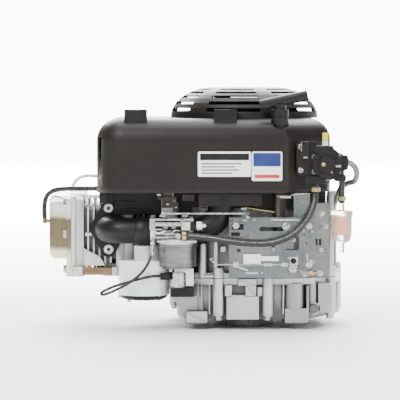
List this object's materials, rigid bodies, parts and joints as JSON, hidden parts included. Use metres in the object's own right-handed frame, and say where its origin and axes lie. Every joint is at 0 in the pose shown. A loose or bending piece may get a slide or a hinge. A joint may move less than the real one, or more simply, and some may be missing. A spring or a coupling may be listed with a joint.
{
  "type": "small gasoline engine",
  "caption": "Vertical-shaft overhead-valve petrol engine with a black blower housing, domed grille, carburettor, electric starter and side valve cover.",
  "frame": {"origin": "crankshaft axis at the plane of the four mounting feet", "axes": "-Z along the output shaft, +X away from the cylinder head, -Y towards the carburettor side"},
  "size_m": [0.4687, 0.3019, 0.428],
  "materials": {
    "cast_alloy": "sand-blasted die casting",
    "head_alloy": "raw die casting",
    "gasket": "compressed fibre",
    "bolt_steel": "zinc plated",
    "cover_zinc": "yellow zinc plated steel, glossy",
    "spark_ceramic": "glazed",
    "dark_steel": "machined",
    "black_plastic": "moulded, fine grain",
    "housing_plastic": "moulded, satin",
    "carb_alloy": "die cast",
    "bowl_alloy": "satin",
    "zinc_sheet": "blue zinc plated",
    "starter_paint": "light grey enamel",
    "black_rubber": "smooth",
    "grey_rubber": "glossy",
    "clamp_zinc": "olive zinc",
    "filter_shell": "translucent nylon",
    "filter_paper": "pleated paper",
    "lead_sleeve": "smooth",
    "copper": "enamelled wire",
    "bronze": "bearing bronze",
    "piston_alloy": "machined",
    "cast_steel": "cast",
    "white_nylon": "moulded nylon"
  },
  "bodies": {
    "engine": {"sump": "cast_alloy", "crankcase": "cast_alloy", "gaskets": "gasket", "case_bolts": "bolt_steel", "cylinder_head": "head_alloy", "head_bolts": "dark_steel", "valve_cover": "cover_zinc", "small_screws": "bolt_steel", "spark_plug": "spark_ceramic", "rocker_shaft": "dark_steel", "valve_springs": "dark_steel", "intake_manifold": "black_plastic", "carburetor_body": "carb_alloy", "carburetor_bowl": "bowl_alloy", "fuel_solenoid": "bolt_steel", "intake_duct": "black_plastic", "blower_housing": "housing_plastic", "housing_clips": "black_plastic", "screen_grille": "black_plastic", "control_plate": "zinc_sheet", "starter_case": "starter_paint", "starter_end_cap": "black_plastic", "fuel_pump": "black_plastic", "fuel_line": "black_rubber", "hose_clamps": "clamp_zinc", "fuel_filter": "filter_shell", "filter_element": "filter_paper", "filter_hose": "black_rubber", "pulse_hose": "grey_rubber", "breather_hose": "black_rubber", "ignition_lead": "lead_sleeve", "ignition_coil": "black_plastic", "oil_filler_tube": "black_plastic", "drain_plug": "dark_steel", "bearings_and_seals": "bronze", "stator": "copper", "solenoid_lead": "black_rubber"},
    "crank": {"crankshaft": "dark_steel", "flywheel": "cast_steel", "blower_fan": "black_plastic"},
    "cam": {"camshaft": "cast_steel"},
    "piston_body": {"piston": "piston_alloy", "wrist_pin": "dark_steel"},
    "rod": {"connecting_rod": "piston_alloy"},
    "intake_valve_body": {"intake_valve": "dark_steel"},
    "exhaust_valve_body": {"exhaust_valve": "dark_steel"},
    "intake_rocker_body": {"intake_rocker": "dark_steel"},
    "exhaust_rocker_body": {"exhaust_rocker": "dark_steel"},
    "intake_pushrod_body": {"intake_pushrod": "dark_steel"},
    "exhaust_pushrod_body": {"exhaust_pushrod": "dark_steel"},
    "throttle": {"throttle_shaft": "bolt_steel"},
    "choke": {"choke_shaft": "bolt_steel"},
    "dipstick_body": {"dipstick": "black_plastic"},
    "armature": {"starter_armature": "copper"},
    "idler": {"starter_idler": "dark_steel"},
    "drive": {"starter_drive": "dark_steel"},
    "pinion": {"starter_pinion": "dark_steel"},
    "governor": {"governor_arm": "zinc_sheet"},
    "link": {"governor_link": "bolt_steel"},
    "control": {"control_lever": "white_nylon"}
  },
  "joints": [
    {"name": "crank_spin", "type": "hinge", "parent": "engine", "child": "crank", "pos_m": [0, 0, 0], "axis": [0, 0, 1], "continuous": true},
    {"name": "cam_spin", "type": "hinge", "parent": "engine", "child": "cam", "pos_m": [0, 0.078, 0], "axis": [0, 0, 1], "continuous": true},
    {"name": "piston_slide", "type": "slide", "parent": "engine", "child": "piston_body", "axis": [1, 0, 0], "range_m": [0, 0.078]},
    {"name": "rod_swing", "type": "hinge", "parent": "piston_body", "child": "rod", "pos_m": [-0.153, 0, 0.129], "axis": [0, 0, 1], "range_deg": [-20, 20]},
    {"name": "intake_valve_lift", "type": "slide", "parent": "engine", "child": "intake_valve_body", "axis": [1, 0, 0], "range_m": [0, 0.006], "stiffness_N_per_m": 8000, "springref_m": -0.002},
    {"name": "intake_rocker_tilt", "type": "hinge", "parent": "engine", "child": "intake_rocker_body", "pos_m": [-0.274, 0.04, 0.152], "axis": [0, 0, 1], "range_deg": [0, 9.2]},
    {"name": "intake_pushrod_slide", "type": "slide", "parent": "engine", "child": "intake_pushrod_body", "axis": [-1, 0, 0], "range_m": [0, 0.0062]},
    {"name": "exhaust_valve_lift", "type": "slide", "parent": "engine", "child": "exhaust_valve_body", "axis": [1, 0, 0], "range_m": [0, 0.006], "stiffness_N_per_m": 8000, "springref_m": -0.002},
    {"name": "exhaust_rocker_tilt", "type": "hinge", "parent": "engine", "child": "exhaust_rocker_body", "pos_m": [-0.274, 0.04, 0.106], "axis": [0, 0, 1], "range_deg": [0, 9.2]},
    {"name": "exhaust_pushrod_slide", "type": "slide", "parent": "engine", "child": "exhaust_pushrod_body", "axis": [-1, 0, 0], "range_m": [0, 0.0062]},
    {"name": "throttle_turn", "type": "hinge", "parent": "engine", "child": "throttle", "pos_m": [-0.12, -0.115, 0.15], "axis": [0, 0, 1], "range_deg": [0, 60.5]},
    {"name": "choke_turn", "type": "hinge", "parent": "engine", "child": "choke", "pos_m": [-0.088, -0.115, 0.15], "axis": [0, 0, 1], "range_deg": [0, 75]},
    {"name": "governor_swing", "type": "hinge", "parent": "engine", "child": "governor", "pos_m": [0, -0.12, 0.084], "axis": [0, 1, 0], "range_deg": [0, 15]},
    {"name": "link_slide", "type": "slide", "parent": "engine", "child": "link", "axis": [1, 0, 0], "range_m": [0, 0.0215]},
    {"name": "control_swing", "type": "hinge", "parent": "engine", "child": "control", "pos_m": [0.01, -0.138, 0.0995], "axis": [0, 1, 0], "range_deg": [-20, 25]},
    {"name": "dipstick_pull", "type": "slide", "parent": "engine", "child": "dipstick_body", "axis": [0, 0, 1], "range_m": [0, 0.19]},
    {"name": "motor_spin", "type": "hinge", "parent": "engine", "child": "armature", "pos_m": [-0.14807, -0.09506, 0.06], "axis": [0, 0, 1], "continuous": true},
    {"name": "idler_spin", "type": "hinge", "parent": "engine", "child": "idler", "pos_m": [-0.13001, -0.0825, 0.1], "axis": [0, 0, 1], "continuous": true},
    {"name": "drive_spin", "type": "hinge", "parent": "engine", "child": "drive", "pos_m": [-0.11194, -0.06995, 0.1], "axis": [0, 0, 1], "continuous": true},
    {"name": "pinion_throw", "type": "slide", "parent": "drive", "child": "pinion", "axis": [0, 0, 1], "range_m": [0, 0.012]}
  ],
  "couplings": [
    {"joint": "cam_spin", "follows": "crank_spin", "ratio": -0.5},
    {"joint": "idler_spin", "follows": "motor_spin", "ratio": -1},
    {"joint": "drive_spin", "follows": "motor_spin", "ratio": 1},
    {"joint": "throttle_turn", "follows": "governor_swing", "ratio": 4},
    {"joint": "link_slide", "follows": "governor_swing", "m_per_rad": 0.0815},
    {"joint": "intake_rocker_tilt", "follows": "intake_valve_lift", "rad_per_m": 26.315},
    {"joint": "intake_pushrod_slide", "follows": "intake_valve_lift", "ratio": 1},
    {"joint": "exhaust_rocker_tilt", "follows": "exhaust_valve_lift", "rad_per_m": 26.315},
    {"joint": "exhaust_pushrod_slide", "follows": "exhaust_valve_lift", "ratio": 1}
  ]
}
